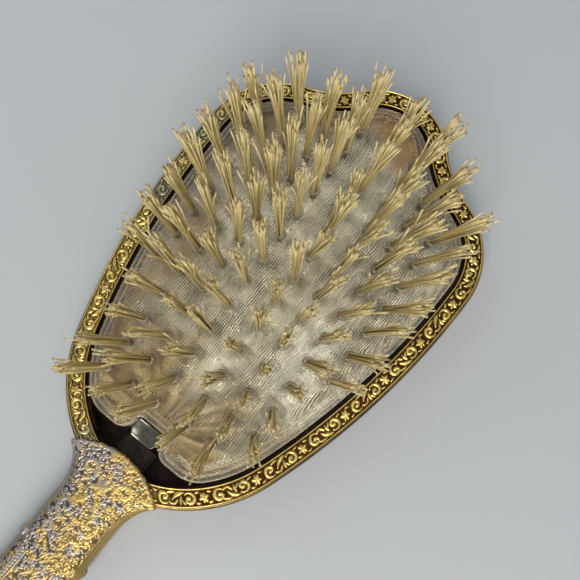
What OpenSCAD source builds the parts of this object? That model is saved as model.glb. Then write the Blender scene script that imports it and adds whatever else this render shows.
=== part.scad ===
// Vanity hairbrush: gilt head and handle, removable clear bristle block.
// Millimetres. +Z is up with the bristles, +Y runs from the handle to the tip.
// The origin is on the flat back of the head, in the middle of the head's length.

/* [Head outline] */
// Greatest width over the rolled lip
head_w = 84; // [70:1:101]
// Length from the collar's corner line to the tip
head_len = 123; // [102:1:148]
// How far the widest place lies from the tip
wide_from_tip = 37; // [32:1:44]
// Radius of the two shoulders
shoulder_r = 23; // [19:0.5:27.6]
// Radius of the rounded tip
tip_r = 19; // [16:0.5:22.8]
// Radius of the hollow sweep between a shoulder and the tip
sweep_r = 27; // [22:0.5:33]
// Width at the hips, where the sides turn in to the handle
hip_w = 61.6; // [52:0.1:66]
// How far the hips lie from the collar's corner line
hip_from_collar = 20.5; // [17:0.5:24]
// Width of the straight end under the handle's collar
heel_w = 22; // [18:0.5:24]
// How far that straight end lies behind the corner line
heel_back = 1; // [0.5:0.1:2]

/* [Head depth] */
// Thickness of the pressed plate on the back
panel_t = 1; // [0.8:0.1:1.4]
// Width of the casing's border left round that plate
panel_border = 5; // [3:0.5:8]
// Sheet thickness of the casing
shell_t = 0.8; // [0.6:0.1:1]
// Height of the top of the engraved bezel above the resting face
bezel_z = 9.5; // [9:0.1:11.5]
// Sheet thickness of the bezel
bezel_t = 0.9; // [0.7:0.1:1.2]
// Width of the engraved band
band_w = 4.4; // [3.6:0.1:5.3]
// Width of the plain rolled lip that shows outside the band
lip_w = 1; // [0.8:0.1:1.2]
// How far that lip stands out past the casing's wall
lip_out = 0.8; // [0.65:0.05:1]
// Height of the rolled lip
lip_h = 1.1; // [0.8:0.1:1.4]
// Depth of the skirt that locates the bezel in the casing
skirt_h = 1.6; // [1.2:0.1:2]
// Clearance between a part and the casing wall that it sits in
seat_gap = 0.05; // [0.02:0.01:0.1]
// Thickness of the dark tray that lines the casing
liner_t = 0.8; // [0.6:0.1:1]

/* [Bristle block] */
// Gap round the block, inside the bezel
block_gap = 1; // [0.7:0.1:1.3]
// Height of the block's ledge above the bezel
ledge_up = 0.1; // [0:0.05:0.3]
// Width of each of the two steps in the ledge
step_w = 1.5; // [1:0.1:1.8]
// Rise of the upper step
step_h = 0.6; // [0.4:0.1:0.8]
// Height of the dome's crown above the ledge
crown_h = 4.6; // [4.4:0.1:6]
// Radius of the dome across the block
dome_across_r = 150; // [125:5:180]
// Radius of the dome along the block
dome_along_r = 420; // [350:10:500]
// Distance from the collar's corner line to the block's heel
block_heel = 8.8; // [8:0.1:10.5]
// Corner radius of the two heel lobes
lobe_r = 9; // [7.5:0.5:10.5]
// Width of the notch for the catch
notch_w = 8.6; // [7.5:0.1:10.3]
// Length of that notch
notch_len = 5.2; // [4.4:0.1:6.2]
// Corner radius at the notch's end
notch_r = 1.4; // [1:0.1:2]
// Thickness of the silvered sheet under the block
backing_t = 0.4; // [0.3:0.1:0.5]
// Clearance under that sheet
backing_gap = 0.1; // [0.05:0.05:0.2]
// Width of the tab that tucks under the bezel at the tip
tab_w = 9; // [7.5:0.1:9.6]
// How far the tab's round nose reaches past the block's edge
tab_reach = 2.2; // [1.8:0.1:2.7]
// Thickness of the tab
tab_t = 1; // [0.8:0.1:1.2]
// Clearance between the tab and the bezel above it
tab_gap = 0.6; // [0.5:0.05:0.75]

/* [Tufts] */
// Distance between neighbouring columns
tuft_pitch = 7.4; // [6.1:0.1:8.9]
// Distance of the first column from the middle
first_column = 4.6; // [3.8:0.1:5.5]
// How far the first row lies from the collar's corner line
first_row = 18.5; // [17.5:0.1:22.2]
// How far the last row lies from the tip
last_row = 17.5; // [16.5:0.1:21]
// Turn of the whole pattern on the block, in degrees
tuft_turn = 2.5; // [0:0.5:4]
// Free length of a tuft above the block
tuft_len = 24; // [20:0.5:29]
// Radius about which the tufts fan out
fan_r = 145; // [120:1:174]
// Distance of the upright tufts from the collar's corner line
fan_from_collar = 55; // [45:1:66]
// Radius of a tuft's hole
hole_r = 0.9; // [0.75:0.05:1.1]
// Depth of a tuft's hole
hole_depth = 4; // [3.3:0.1:4.8]
// Clearance between a tuft and its hole
tuft_gap = 0.05; // [0.02:0.01:0.1]
// Radius of a tuft's spread tip
tuft_tip_r = 2.2; // [1.8:0.1:2.7]
// Wall of the small collar moulded round each hole
collar_wall = 0.45; // [0.4:0.05:0.6]
// Height of that collar
collar_up = 0.5; // [0.4:0.05:0.7]
// Least distance from a tuft's axis to the dome's edge
tuft_margin = 1; // [0.8:0.1:1.4]
// Length of the metal anchor in a hole's bottom
anchor_len = 0.8; // [0.6:0.1:1]

/* [Catch] */
// Gap between the catch and each side of the notch
catch_side = 0.5; // [0.4:0.05:0.6]
// Length of the bright plate
plate_len = 4.9; // [4:0.1:5.8]
// Corner radius of the plate's outer edge
plate_r = 1.6; // [1:0.1:2.2]
// Thickness of the catch's sheet
catch_t = 0.5; // [0.4:0.05:0.6]
// Gap between the plate and the notch's end
catch_gap = 0.25; // [0.2:0.05:0.35]
// Height of the plate's top above the block's ledge
plate_up = 0.3; // [0.1:0.1:0.6]
// Gap between the riveted foot and the leg that flexes
flex_gap = 0.1; // [0.05:0.01:0.15]
// Length of the riveted foot
foot_len = 7; // [5.8:0.1:7.6]
// Radius of a heel rivet's shank
rivet_r = 0.8; // [0.65:0.05:0.95]
// Radius of a heel rivet's head
rivet_head_r = 1.3; // [1.1:0.05:1.6]
// Height of a heel rivet's head
rivet_head_h = 0.5; // [0.4:0.05:0.6]
// Distance between the two heel rivets
rivet_pitch = 3.6; // [3.4:0.1:4]
// Clearance round a rivet or the rod in its holes
fit_gap = 0.05; // [0.02:0.01:0.1]

/* [Handle] */
// Length from the collar's corner line to the end of the handle
handle_len = 107; // [90:1:129]
// Width across the collar's two corners
collar_w = 26; // [24.5:0.1:31.2]
// Rise of the collar's front arc
collar_rise = 5; // [4.5:0.5:6]
// Sheet thickness of the collar over the head
collar_t = 1; // [0.8:0.1:1.2]
// Radius of the sweep from a collar corner to the neck
flare_r = 14; // [12:0.1:16.8]
// Width of the neck at the seam
neck_w = 17; // [14.5:0.1:20.4]
// Width of the grip near its end
grip_w = 20; // [17:0.5:24]
// How much narrower the raised face is than the seam, on each side
face_in = 2.6; // [2.2:0.1:3.2]
// Rise of the raised face
face_h = 2.2; // [1.8:0.1:2.6]
// Wall of the two pressed halves
handle_wall = 1.1; // [0.9:0.1:1.4]
// Distance of the knot from the collar's corner line
knot_from_collar = 22; // [19:0.5:26]
// Length of the knot
knot_len = 3.6; // [3:0.1:4.3]
// How far the knot stands out
knot_out = 0.9; // [0.6:0.1:1.2]
// Length of the end cap
cap_len = 10; // [8.5:0.5:12]
// Depth of the cap's plug inside the halves
plug_len = 4; // [3.5:0.5:5]
// Radius of the rod through the handle
rod_r = 1.5; // [1.25:0.05:1.8]
// Width of the tang
tang_w = 9; // [7.5:0.5:9.5]
// Thickness of the tang
tang_t = 1.6; // [1.4:0.1:1.9]
// Length of the tang's lug in the handle
lug_len = 6; // [5:0.5:7]

/* [Hidden] */

tiny = 0.01;
rows = 13;
over = 1;
columns = [-4, -3, -2, -1, 1, 2, 3, 4];
catch_w = notch_w - 2 * catch_side;

// Places along Y.
collar_y = -head_len / 2;
tip_y = head_len / 2;
heel_y = collar_y - heel_back;
wide_y = tip_y - wide_from_tip;
block_y = collar_y + block_heel;
notch_y = block_y + notch_len;
fan_y = collar_y + fan_from_collar;
plate_y1 = notch_y - catch_gap;
plate_y0 = plate_y1 - plate_len;
flex_y = plate_y0 + catch_t / 2;
foot_y1 = plate_y0 - flex_gap;
foot_y0 = foot_y1 - foot_len;
rivet_y = (foot_y0 + foot_y1 - rivet_head_r) / 2;
rivet_ys = [rivet_y - rivet_pitch / 2, rivet_y + rivet_pitch / 2];
knot_y = collar_y - knot_from_collar;
end_y = collar_y - handle_len;
cap_y = end_y + cap_len;
lug_y = heel_y - lug_len - handle_wall;

// Levels along Z.
floor_z = panel_t;
liner_z = floor_z + shell_t;
tray_z = liner_z + liner_t;
band_z = bezel_z - bezel_t;
lip_z = band_z - lip_h;
backing_z = tray_z + backing_gap;
block_z = backing_z + backing_t;
ledge_z = bezel_z + ledge_up;
upper_z = ledge_z + step_h;
crown_z = ledge_z + crown_h;
nose_r = tab_t / 2;
nose_z = band_z - tab_gap - nose_r;
tang_z = tray_z;
foot_z = tang_z + tang_t;
flex_z = foot_z + catch_t / 2;
plate_z = ledge_z + plate_up - catch_t;
collar_z = bezel_z + collar_t;
seam_z = (collar_z + floor_z - collar_t) / 2;
rod_z = seam_z;

// Insets from the head's outline.
band_in = lip_w + band_w;
block_in = band_in + block_gap;
upper_in = block_in + step_w;
dome_in = upper_in + step_w;
wall_in = lip_out;
cavity_in = wall_in + shell_t;
skirt_in = cavity_in + seat_gap;
liner_in = block_in - liner_t - block_gap / 2;
nose_y = tip_y - block_in + tab_reach - nose_r;

function unit(v) = v / norm(v);
function arc(c, r, a0, a1, n) = [for (i = [1:n]) let (a = a0 + (a1 - a0) * i / n) c + r * [cos(a), sin(a)]];
function heading(v) = atan2(v.y, v.x);
function mirrored(p) = [for (i = [len(p) - 1:-1:0]) if (p[i].x > tiny) [-p[i].x, p[i].y]];

// Centre of the circle that touches two others outside, on its upper side.
function outer_touch(c1, d1, c2, d2) =
    let (u = unit(c2 - c1), l = norm(c2 - c1), along = (d1 * d1 - d2 * d2 + l * l) / (2 * l),
         off = sqrt(d1 * d1 - along * along))
    c1 + along * u + off * [-u.y, u.x] * (u.x > 0 ? 1 : -1);

// The head's outline: heel, side, shoulder, hollow sweep and tip, each one arc.
hip = [hip_w / 2, collar_y + hip_from_collar];
heel = [heel_w / 2, heel_y];
side_in = head_w / 2 - hip.x;
side_r = (side_in * side_in + pow(wide_y - hip.y, 2)) / (2 * side_in);
side_c = [head_w / 2 - side_r, wide_y];
hip_n = unit(hip - side_c);
heel_r = pow(norm(hip - heel), 2) / (2 * ((hip - heel) * hip_n));
heel_c = hip - heel_r * hip_n;
shoulder_c = [head_w / 2 - shoulder_r, wide_y];
tip_c = [0, tip_y - tip_r];
sweep_c = outer_touch(tip_c, tip_r + sweep_r, shoulder_c, shoulder_r + sweep_r);
hip_a = heading(hip_n);
shoulder_a = heading(sweep_c - shoulder_c);
tip_a = heading(sweep_c - tip_c);

// Angle on the heel arc, inset by d, at the height y.
function heel_a(d, y) = asin(max(-1, (y - heel_c.y) / (heel_r - d)));

// Right half of the outline inset by d, from the heel arc's angle a0 to the tip.
function half_outline(d, a0) = concat(
    arc(heel_c, heel_r - d, a0, hip_a, 8),
    arc(side_c, side_r - d, hip_a, 0, 8),
    arc(shoulder_c, shoulder_r - d, 0, shoulder_a, 10),
    arc(sweep_c, sweep_r + d, shoulder_a + 180, tip_a + 180, 6),
    arc(tip_c, tip_r - d, tip_a, 90, 7));

function whole(half) = concat(half, mirrored(half));

// Head outline inset by d, with its straight end at y.
function head_points(d, y) =
    let (a = heel_a(d, y), start = heel_c + (heel_r - d) * [cos(a), sin(a)])
    whole(concat([start], half_outline(d, a)));

// Block outline: the head's, inset by d, with a straight heel at y and lobes of radius r.
function block_points(d, y, r) =
    let (reach = heel_r - d - r, cy = y + r, cx = heel_c.x + sqrt(reach * reach - pow(cy - heel_c.y, 2)),
         a = heading([cx, cy] - heel_c))
    whole(concat([[cx, y]], arc([cx, cy], r, -90, a, 8), half_outline(d, a)));

// Half width of the outline inset by d, at the height y.
function half_width(d, y) =
    y < heel_c.y + (heel_r - d) * sin(hip_a) ? heel_c.x + sqrt(max(0, pow(heel_r - d, 2) - pow(y - heel_c.y, 2)))
    : y < wide_y ? side_c.x + sqrt(pow(side_r - d, 2) - pow(y - wide_y, 2))
    : y < wide_y + (shoulder_r - d) * sin(shoulder_a)
        ? shoulder_c.x + sqrt(pow(shoulder_r - d, 2) - pow(y - wide_y, 2))
    : y < tip_c.y + (tip_r - d) * sin(tip_a) ? sweep_c.x - sqrt(pow(sweep_r + d, 2) - pow(y - sweep_c.y, 2))
    : sqrt(max(0, pow(tip_r - d, 2) - pow(y - tip_c.y, 2)));

// The dome: a barrel of two radii, whose crown is over the middle of the block.
dome_y = (block_y + tip_y - block_in) / 2;
function dome_z(x, y) =
    let (rho = dome_across_r - dome_along_r + sqrt(pow(dome_along_r, 2) - pow(y - dome_y, 2)))
    crown_z - dome_across_r + sqrt(rho * rho - x * x);

// Where each tuft stands, and which way it points.
function column_x(c) = sign(c) * (first_column + (abs(c) - 1) * tuft_pitch);
function row_y(r) = collar_y + first_row + (head_len - first_row - last_row) * (r - 1) / (rows - 1);
function turned(p) = let (q = p - [0, fan_y]) [0, fan_y]
    + [q.x * cos(tuft_turn) - q.y * sin(tuft_turn), q.x * sin(tuft_turn) + q.y * cos(tuft_turn)];
function row_places(r) = [for (c = columns) let (p = turned([column_x(c), row_y(r)]))
    if (abs(p.x) < half_width(dome_in + tuft_margin, p.y)) [p.x, p.y, dome_z(p.x, p.y)]];
function lean(p) = [p.x / fan_r, (p.y - fan_y) / fan_r, 1];

module along_tuft(p) {
    d = lean(p);
    translate(p) rotate([0, acos(1 / norm(d)), heading(d)]) children();
}

module slab(points, z0, z1) {
    translate([0, 0, z0]) linear_extrude(z1 - z0) polygon(points);
}

module strip(w, y0, y1, z0, z1) {
    translate([-w / 2, y0, z0]) cube([w, y1 - y0, z1 - z0]);
}

module post(r, y, z0, z1) {
    translate([0, y, z0]) cylinder(r = r, h = z1 - z0, $fn = 32);
}

// A round bar of width w that lies across the brush.
module across(r, w, y, z) {
    translate([-w / 2, y, z]) rotate([0, 90, 0]) cylinder(r = r, h = w, $fn = 32);
}

// A flat shape of width w from y0 to y1, with corner radius r0 at y0 and r1 at y1.
module rounded_box(w, y0, y1, r0, r1) {
    translate([-w / 2, y0 + r0]) square([w, y1 - y0 - r0 - r1]);
    translate([r0 - w / 2, y0]) square([w - 2 * r0, r0 + tiny]);
    translate([r1 - w / 2, y1 - r1 - tiny]) square([w - 2 * r1, r1 + tiny]);
    for (s = [-1, 1]) {
        translate([s * (w / 2 - r0), y0 + r0]) circle(r = r0, $fn = 32);
        translate([s * (w / 2 - r1), y1 - r1]) circle(r = r1, $fn = 32);
    }
}

// A box-shaped way through the heel for the tang.
module tang_way(y0, y1) {
    strip(tang_w + 2 * seat_gap, y0, y1, tang_z - tiny, foot_z + seat_gap);
}

module head_shell() {
    color("goldenrod") difference() {
        union() {
            slab(head_points(wall_in, heel_y + tiny), floor_z, band_z);
            slab(head_points(0, heel_y), lip_z, band_z);
        }
        slab(head_points(cavity_in, heel_y + shell_t), liner_z, band_z + tiny);
        tang_way(heel_y - tiny, heel_y + shell_t + tiny);
        for (y = rivet_ys) post(rivet_r + fit_gap, y, floor_z - tiny, liner_z + tiny);
    }
}

module back_panel() {
    color("darkgoldenrod")
        slab(block_points(panel_border, collar_y + block_heel + panel_border, lobe_r), 0, floor_z);
}

module bezel() {
    color("gold") difference() {
        union() {
            slab(head_points(lip_w, heel_y + lip_w), band_z, bezel_z);
            slab(head_points(skirt_in, heel_y + shell_t + seat_gap), band_z - skirt_h, band_z + tiny);
        }
        slab(head_points(band_in, heel_y + band_in - lip_w), band_z - tiny, bezel_z + tiny);
        slab(head_points(skirt_in + shell_t, heel_y + 2 * shell_t + seat_gap), band_z - skirt_h - tiny,
             band_z);
    }
}

module tray_liner() {
    color("#2a1c14") difference() {
        union() {
            slab(head_points(cavity_in + seat_gap, heel_y + shell_t + seat_gap), liner_z, tray_z);
            slab(head_points(liner_in, heel_y + liner_in), liner_z, band_z - tab_gap);
        }
        slab(head_points(liner_in + liner_t, heel_y + liner_in), tray_z, band_z);
        strip(head_w, heel_y, collar_y + collar_rise, tray_z, band_z);
        strip(tab_w + 2 * block_gap, tip_y - block_in - block_gap, tip_y, nose_z - tab_reach, band_z);
        for (y = rivet_ys) post(rivet_r + fit_gap, y, liner_z - tiny, tray_z + tiny);
    }
}

module tang() {
    color("dimgray") difference() {
        union() {
            strip(tang_w, lug_y, foot_y1, tang_z, foot_z);
            strip(tang_w, lug_y, lug_y + lug_len, tang_z, rod_z + rod_r + tang_t);
        }
        for (y = rivet_ys) post(rivet_r + fit_gap, y, tang_z - tiny, foot_z + tiny);
        translate([0, lug_y - tiny, rod_z]) rotate([-90, 0, 0])
            cylinder(r = rod_r + fit_gap, h = lug_len + 2 * tiny, $fn = 48);
    }
}

module heel_rivets() {
    color("silver") for (y = rivet_ys) {
        post(rivet_r, y, floor_z, foot_z + catch_t + tiny);
        post(rivet_head_r, y, foot_z + catch_t, foot_z + catch_t + rivet_head_h);
    }
}

module catch_foot() {
    color("#4a4038") difference() {
        strip(catch_w, foot_y0, foot_y1, foot_z, foot_z + catch_t);
        for (y = rivet_ys) post(rivet_r + fit_gap, y, foot_z - tiny, foot_z + catch_t + tiny);
    }
}

module catch_plate() {
    color("silver") {
        strip(catch_w, plate_y0, plate_y0 + catch_t, flex_z, plate_z + tiny);
        across(catch_t / 2, catch_w, flex_y, flex_z);
        translate([0, 0, plate_z]) linear_extrude(catch_t)
            rounded_box(catch_w, plate_y0, plate_y1, plate_r, notch_r);
    }
}

module handle_rod() {
    color("gray") translate([0, cap_y - plug_len, rod_z]) rotate([-90, 0, 0])
        cylinder(r = rod_r, h = lug_y + lug_len - cap_y + plug_len, $fn = 48);
}

// Half width of the handle at the seam, s from the neck (0) to the cap (1).
function grip_half(s) = (neck_w + (grip_w - neck_w) * s * s * (3 - 2 * s)) / 2;

// One side of the handle's outline, inset by d, from the collar corner to the cap.
function handle_half(d) =
    let (out = collar_w / 2 - neck_w / 2, r = flare_r, a = acos(1 - out / r),
         c = [neck_w / 2 + r, collar_y - r * sin(a)])
    concat([[collar_w / 2 - d, collar_y]],
        [for (i = [1:7]) let (t = 180 - a * (1 - i / 7)) c + r * [cos(t), sin(t)] - [d, 0]],
        [for (i = [1:12]) [grip_half(i / 12) - d, c.y + (cap_y - c.y) * i / 12]]);

function handle_points(d, y0, y1) =
    let (half = [for (p = handle_half(d)) if (p.y <= y0 + tiny && p.y >= y1 - tiny) p],
         side = concat([[half[0].x, y0]], half, [[half[len(half) - 1].x, y1]]))
    concat(side, [for (i = [len(side) - 1:-1:0]) [-side[i].x, side[i].y]]);

// The fishtail that laps over the head, with its arched front edge.
module fishtail(z0, z1) {
    r = (pow(collar_w / 2, 2) + collar_rise * collar_rise) / (2 * collar_rise);
    translate([0, 0, z0]) linear_extrude(z1 - z0) intersection() {
        translate([0, collar_y + collar_rise - r]) circle(r = r, $fn = 128);
        translate([-collar_w / 2, heel_y - 3 * tiny]) square([collar_w, collar_rise + heel_back + over]);
    }
}

// One half of the handle, from the seam to its face, drawn at its own level: its fishtail's
// level is lap_z, and its knot stands knot_up above the face.
module half_handle(lap_z, knot_up) {
    top = collar_z - seam_z;
    difference() {
        union() {
            slab(handle_points(0, heel_y, cap_y), 0, top - face_h);
            slab(handle_points(face_in, heel_y, cap_y), 0, top);
            fishtail(lap_z, lap_z + collar_t);
            strip(neck_w + 2 * knot_out, knot_y - knot_len / 2, knot_y + knot_len / 2, 0, top - face_h / 2);
            strip(neck_w - 2 * face_in, knot_y - knot_len / 2, knot_y + knot_len / 2, 0, top + knot_up);
        }
        slab(handle_points(face_in + handle_wall, heel_y + over, cap_y - over), -tiny, top - handle_wall);
    }
}

module handle_front() {
    color("darkkhaki") translate([0, 0, seam_z]) half_handle(bezel_z - seam_z, knot_out / 2);
}

module handle_back() {
    color("darkkhaki") translate([0, 0, seam_z]) mirror([0, 0, 1]) half_handle(seam_z - floor_z, 0);
}

module handle_end_cap() {
    half = collar_z - seam_z;
    color("gold") difference() {
        union() {
            translate([0, 0, seam_z - half]) linear_extrude(2 * half) intersection() {
                translate([0, end_y + grip_w / 2]) circle(r = grip_w / 2, $fn = 64);
                translate([-grip_w / 2, end_y]) square([grip_w, cap_len]);
            }
            strip(grip_w - 2 * (face_in + handle_wall + seat_gap), cap_y - tiny, cap_y + plug_len,
                  seam_z - half + handle_wall + seat_gap, seam_z + half - handle_wall - seat_gap);
        }
        translate([0, cap_y - plug_len, rod_z]) rotate([-90, 0, 0])
            cylinder(r = rod_r + fit_gap, h = 2 * plug_len + over, $fn = 48);
    }
}

// The notch in the block's heel, with rounded inner corners.
module notch_cut() {
    translate([0, 0, backing_z - over]) linear_extrude(crown_z)
        rounded_box(notch_w, block_y - 2 * notch_r, notch_y, notch_r, notch_r);
}

module dome_body() {
    translate([0, dome_y, crown_z - dome_across_r]) rotate([-90, 0, 0])
        rotate_extrude($fn = 180) intersection() {
            translate([dome_across_r - dome_along_r, 0]) circle(r = dome_along_r, $fn = 360);
            translate([0, -head_len]) square([dome_across_r, 2 * head_len]);
        }
}

module bristle_block() {
    color("gainsboro", 0.6) difference() {
        union() {
            slab(block_points(block_in, block_y, lobe_r), block_z, ledge_z);
            slab(block_points(upper_in, block_y + step_w, lobe_r - step_w), block_z, upper_z);
            intersection() {
                slab(block_points(dome_in, block_y + 2 * step_w, lobe_r - 2 * step_w), block_z, crown_z + over);
                dome_body();
            }
            strip(tab_w, nose_y - 3 * tab_reach, nose_y, nose_z - nose_r, nose_z + nose_r);
            across(nose_r, tab_w, nose_y, nose_z);
            for (r = [1:rows], p = row_places(r)) along_tuft(p) translate([0, 0, -over])
                cylinder(r = hole_r + collar_wall, h = over + collar_up, $fn = 24);
        }
        notch_cut();
        for (r = [1:rows], p = row_places(r)) along_tuft(p) translate([0, 0, -hole_depth])
            cylinder(r = hole_r, h = hole_depth + 2 * collar_up, $fn = 24);
    }
}

module block_backing() {
    color("silver") difference() {
        slab(block_points(upper_in, block_y + step_w, lobe_r - step_w), backing_z, block_z);
        notch_cut();
    }
}

module tuft_anchors() {
    color("lightgray") for (r = [1:rows], p = row_places(r)) along_tuft(p) translate([0, 0, -hole_depth])
        cylinder(r = hole_r - tuft_gap, h = anchor_len, $fn = 24);
}

module tufts_row(r) {
    color("wheat") for (p = row_places(r)) along_tuft(p) {
        translate([0, 0, anchor_len - hole_depth])
            cylinder(r = hole_r - tuft_gap, h = hole_depth - anchor_len + collar_up, $fn = 24);
        translate([0, 0, collar_up])
            cylinder(r1 = hole_r - tuft_gap, r2 = tuft_tip_r, h = tuft_len - collar_up, $fn = 24);
    }
}

head_shell();
back_panel();
bezel();
tray_liner();
tang();
heel_rivets();
catch_foot();
catch_plate();
handle_rod();
handle_front();
handle_back();
handle_end_cap();
bristle_block();
block_backing();
tuft_anchors();
tufts_row(1);  // tufts_row_01
tufts_row(2);  // tufts_row_02
tufts_row(3);  // tufts_row_03
tufts_row(4);  // tufts_row_04
tufts_row(5);  // tufts_row_05
tufts_row(6);  // tufts_row_06
tufts_row(7);  // tufts_row_07
tufts_row(8);  // tufts_row_08
tufts_row(9);  // tufts_row_09
tufts_row(10);  // tufts_row_10
tufts_row(11);  // tufts_row_11
tufts_row(12);  // tufts_row_12
tufts_row(13);  // tufts_row_13
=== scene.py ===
import math
import bpy
import numpy as np
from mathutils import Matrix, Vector
from mathutils.geometry import delaunay_2d_cdt


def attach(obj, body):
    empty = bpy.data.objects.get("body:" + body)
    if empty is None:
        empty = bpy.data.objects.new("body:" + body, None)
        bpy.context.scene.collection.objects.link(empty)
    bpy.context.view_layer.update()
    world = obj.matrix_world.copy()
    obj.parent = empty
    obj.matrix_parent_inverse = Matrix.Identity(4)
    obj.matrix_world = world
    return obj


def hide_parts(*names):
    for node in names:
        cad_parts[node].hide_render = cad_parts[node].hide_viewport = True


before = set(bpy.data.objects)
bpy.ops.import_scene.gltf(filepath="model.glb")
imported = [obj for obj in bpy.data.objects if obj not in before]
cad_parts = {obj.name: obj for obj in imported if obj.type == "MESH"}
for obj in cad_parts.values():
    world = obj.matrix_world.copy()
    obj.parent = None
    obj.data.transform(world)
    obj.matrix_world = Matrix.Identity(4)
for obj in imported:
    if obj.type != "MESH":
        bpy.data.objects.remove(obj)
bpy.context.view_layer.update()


# ------------
# The table and the light. The brush lies on its back on a pale satin-painted board, near a big
# window, in a white room. The camera looks down on it a little from the handle's side.

table_size = 1.6
table_paint = (0.44, 0.456, 0.466)


def put(name, data):
    """A new object in the scene."""
    made = bpy.data.objects.new(name, data)
    bpy.context.scene.collection.objects.link(made)
    return made


def material_of(name, **values):
    """A new material whose shader holds these plain values."""
    made = bpy.data.materials.new(name)
    made.use_nodes = True
    shader = made.node_tree.nodes["Principled BSDF"]
    for socket, value in values.items():
        shader.inputs[socket.replace("_", " ")].default_value = value
    return made


def node(skin, kind, inputs, **settings):
    """Adds a node; each input is a plain value or another node's output."""
    made = skin.node_tree.nodes.new("ShaderNode" + kind)
    for name, value in settings.items():
        setattr(made, name, value)
    for name, value in inputs.items():
        if isinstance(value, bpy.types.NodeSocket):
            skin.node_tree.links.new(value, made.inputs[name])
        else:
            made.inputs[name].default_value = value
    return made


def drive(skin, **outputs):
    """Links these outputs to the sockets of the material's shader."""
    shader = skin.node_tree.nodes["Principled BSDF"]
    for socket, output in outputs.items():
        skin.node_tree.links.new(output, shader.inputs[socket.replace("_", " ")])


def grain(skin, size, detail=3.0, stretch=(1, 1, 1)):
    """Noise whose clumps are about size metres across, longer where stretch is under 1."""
    where = node(skin, "TexCoord", {}).outputs["Object"]
    scale = [s / size for s in stretch]
    placed = node(skin, "Mapping", {"Vector": where, "Scale": scale}).outputs["Vector"]
    made = node(skin, "TexNoise", {"Vector": placed, "Scale": 1.0, "Detail": detail})
    return made.outputs["Fac"]


def ramp(skin, value, *stops):
    """Turns a value into the colours or greys that are given as (place, colour) stops."""
    made = node(skin, "ValToRGB", {"Fac": value})
    elements = made.color_ramp.elements
    while len(elements) < len(stops):
        elements.new(0.5)
    for element, (place, colour) in zip(elements, stops):
        rgb = (colour,) * 3 if isinstance(colour, (int, float)) else colour
        element.position = place
        element.color = (*rgb, 1)
    return made.outputs["Color"]


def blend(skin, share, first, second):
    """Mixes two colours; share is how much of the second shows."""
    colours = {0: share}
    for place, colour in ((6, first), (7, second)):
        colours[place] = (*colour, 1) if isinstance(colour, tuple) else colour
    return node(skin, "Mix", colours, data_type="RGBA").outputs[2]


def sum_up(skin, operation, first, second):
    return node(skin, "Math", {0: first, 1: second}, operation=operation).outputs[0]


def dents(skin, height, depth, under=None):
    """A surface that rises by depth metres where height is 1, on top of another such surface."""
    inputs = {"Height": height, "Strength": 1.0, "Distance": depth}
    if under is not None:
        inputs["Normal"] = under
    return node(skin, "Bump", inputs).outputs["Normal"]


def made_of(name, points, faces, skin, smooth=True):
    """A mesh object from its points and faces."""
    mesh = bpy.data.meshes.new(name)
    mesh.from_pydata(np.asarray(points, float).tolist(), [], [[int(c) for c in f] for f in faces])
    mesh.polygons.foreach_set("use_smooth", [smooth] * len(mesh.polygons))
    mesh.materials.append(skin)
    return put(name, mesh)


paint = material_of("table_paint", Roughness=0.55)
drive(paint, Base_Color=ramp(paint, grain(paint, 0.09, 4), (0.3, tuple(c * 0.97 for c in table_paint)),
                             (0.7, table_paint)))
drive(paint, Normal=dents(paint, grain(paint, 0.0006, 2), 0.00001))
corners = [(sx * table_size, sy * table_size, 0) for sx, sy in ((-1, -1), (1, -1), (1, 1), (-1, 1))]
table = made_of("table", corners, [(0, 1, 2, 3)], paint, smooth=False)

world = bpy.data.worlds.new("white_room")
world.use_nodes = True
world.node_tree.nodes["Background"].inputs["Color"].default_value = (0.93, 0.96, 1.0, 1)
world.node_tree.nodes["Background"].inputs["Strength"].default_value = 0.42
bpy.context.scene.world = world
bpy.context.scene.view_settings.view_transform = "Standard"


def window(name, place, aim, size, power, colour):
    """A square soft light that faces the point aim."""
    light = bpy.data.lights.new(name, "AREA")
    light.size = size
    light.energy = power
    light.color = colour
    made = put(name, light)
    made.location = place
    made.rotation_euler = (Vector(aim) - Vector(place)).to_track_quat("-Z", "Y").to_euler()


window("main_window", (0.25, -0.55, 0.62), (0, -0.02, 0), 0.5, 6.0, (1.0, 0.985, 0.96))
window("side_window", (-0.7, 0.15, 0.55), (0, 0, 0), 0.5, 1.3, (0.93, 0.97, 1.0))
window("skylight", (0.156, 0.03, 0.62), (0, 0, 0), 0.16, 0.4, (1.0, 0.98, 0.95))

lens = bpy.data.cameras.new("camera")
lens.lens = 43.45
lens.sensor_width = 36
lens.clip_start = 0.01
camera = put("camera", lens)
camera.location = (0.02597, -0.03515, 0.1791)
camera.rotation_euler = [math.radians(turn) for turn in (13.17, -1.5, 38.35)]
bpy.context.scene.camera = camera


# ------------
# The casing: a pan of thin brass sheet, spun and pressed over a form, with its rim rolled into
# a lip that two fine lines run round. It was gilded, and is rubbed bright where hands hold it.

head_width, head_length = 0.084, 0.123
collar_y, tip_y = -head_length / 2, head_length / 2
heel_y = collar_y - 0.001
widest_y = tip_y - 0.037
hip = np.array([0.0308, collar_y + 0.0205])
heel = np.array([0.011, heel_y])
shoulder_radius, tip_radius, sweep_radius = 0.023, 0.019, 0.027

side_in = head_width / 2 - hip[0]
side_radius = (side_in ** 2 + (widest_y - hip[1]) ** 2) / (2 * side_in)
side_centre = np.array([head_width / 2 - side_radius, widest_y])
hip_way = (hip - side_centre) / np.linalg.norm(hip - side_centre)
heel_radius = (hip - heel) @ (hip - heel) / (2 * (hip - heel) @ hip_way)
heel_centre = hip - heel_radius * hip_way
shoulder_centre = np.array([head_width / 2 - shoulder_radius, widest_y])
tip_centre = np.array([0, tip_y - tip_radius])


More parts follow.
